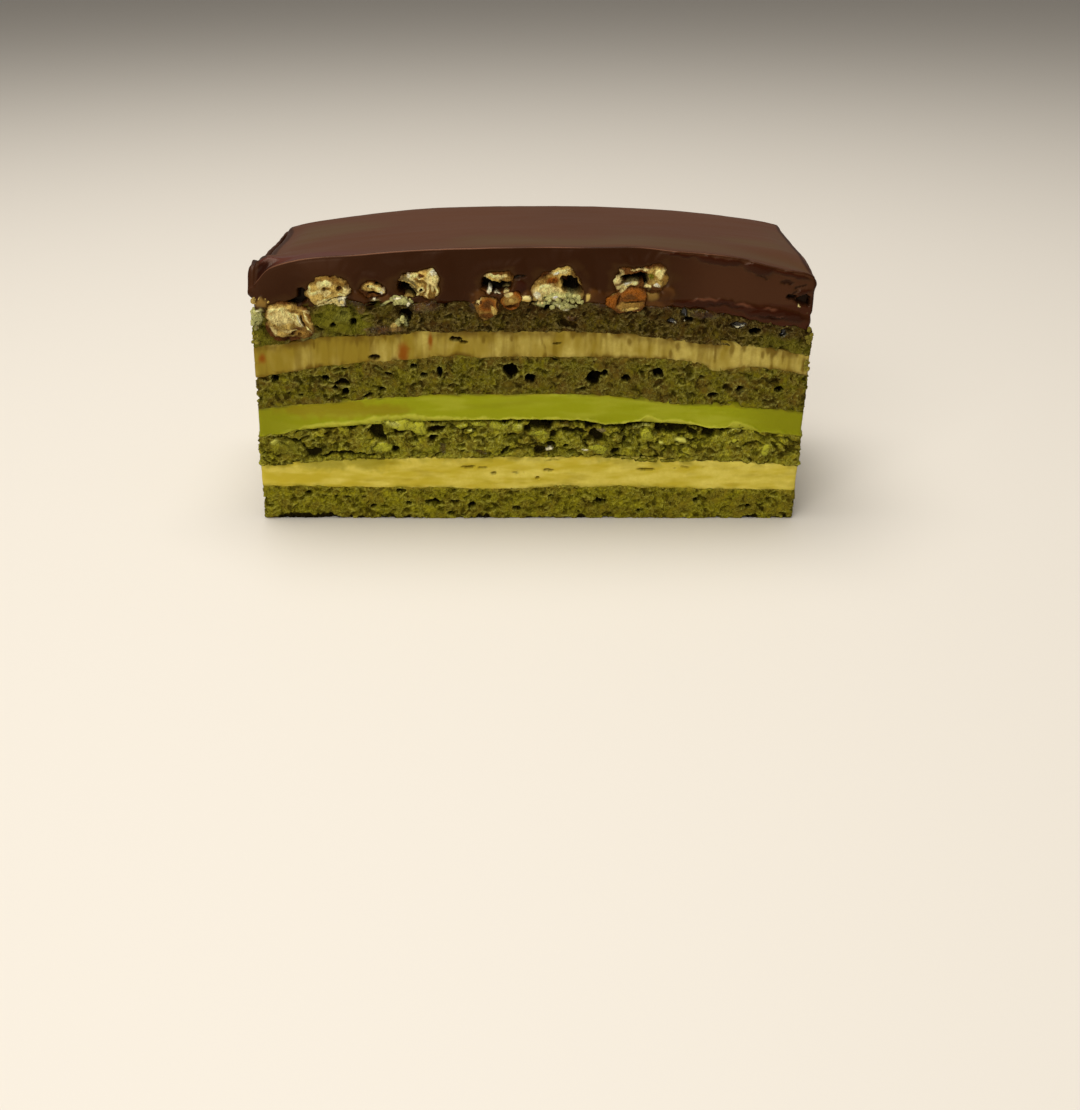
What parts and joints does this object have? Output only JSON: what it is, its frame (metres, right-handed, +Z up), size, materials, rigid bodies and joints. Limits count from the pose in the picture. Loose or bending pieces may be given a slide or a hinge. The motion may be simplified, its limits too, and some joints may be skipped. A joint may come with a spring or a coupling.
{
  "type": "opera cake slice",
  "caption": "Cut slice of green tea opera cake: thin sponge sheets with buttercream and green tea cream between them, under a thick chocolate glaze with crisps and nuts.",
  "frame": {"origin": "middle of the flat base, by the box round the slice", "axes": "+X along the slice's length, to the right seen from its cut front; +Y from the cut front to the back; +Z up"},
  "size_m": [0.099, 0.0428, 0.0501],
  "materials": {
    "sponge": "open crumb, matte, dark olive green",
    "buttercream": "soft satin, pale yellow with coffee streaks",
    "green_cream": "smooth satin, bright leaf green",
    "chocolate": "smooth semi-gloss, dark brown",
    "crisp": "matte, pale tan with toasted edges",
    "nut": "glossy caramel, amber brown"
  },
  "bodies": {
    "root": {"sponge_base": "sponge", "buttercream_lower": "buttercream", "sponge_second": "sponge", "green_tea_cream": "green_cream", "sponge_third": "sponge", "buttercream_upper": "buttercream", "sponge_top": "sponge", "chocolate_glaze": "chocolate", "crisp_1": "crisp", "crisp_2": "crisp", "crisp_3": "crisp", "crisp_4": "crisp", "crisp_5": "crisp", "crisp_6": "crisp", "crisp_7": "crisp", "crisp_8": "crisp", "crisp_9": "crisp", "crisp_10": "crisp", "crisp_11": "crisp", "crisp_12": "crisp", "crisp_13": "crisp", "crisp_14": "crisp", "nut_1": "nut", "nut_2": "nut", "nut_3": "nut", "nut_4": "nut", "nut_5": "nut", "nut_6": "nut"}
  },
  "joints": []
}
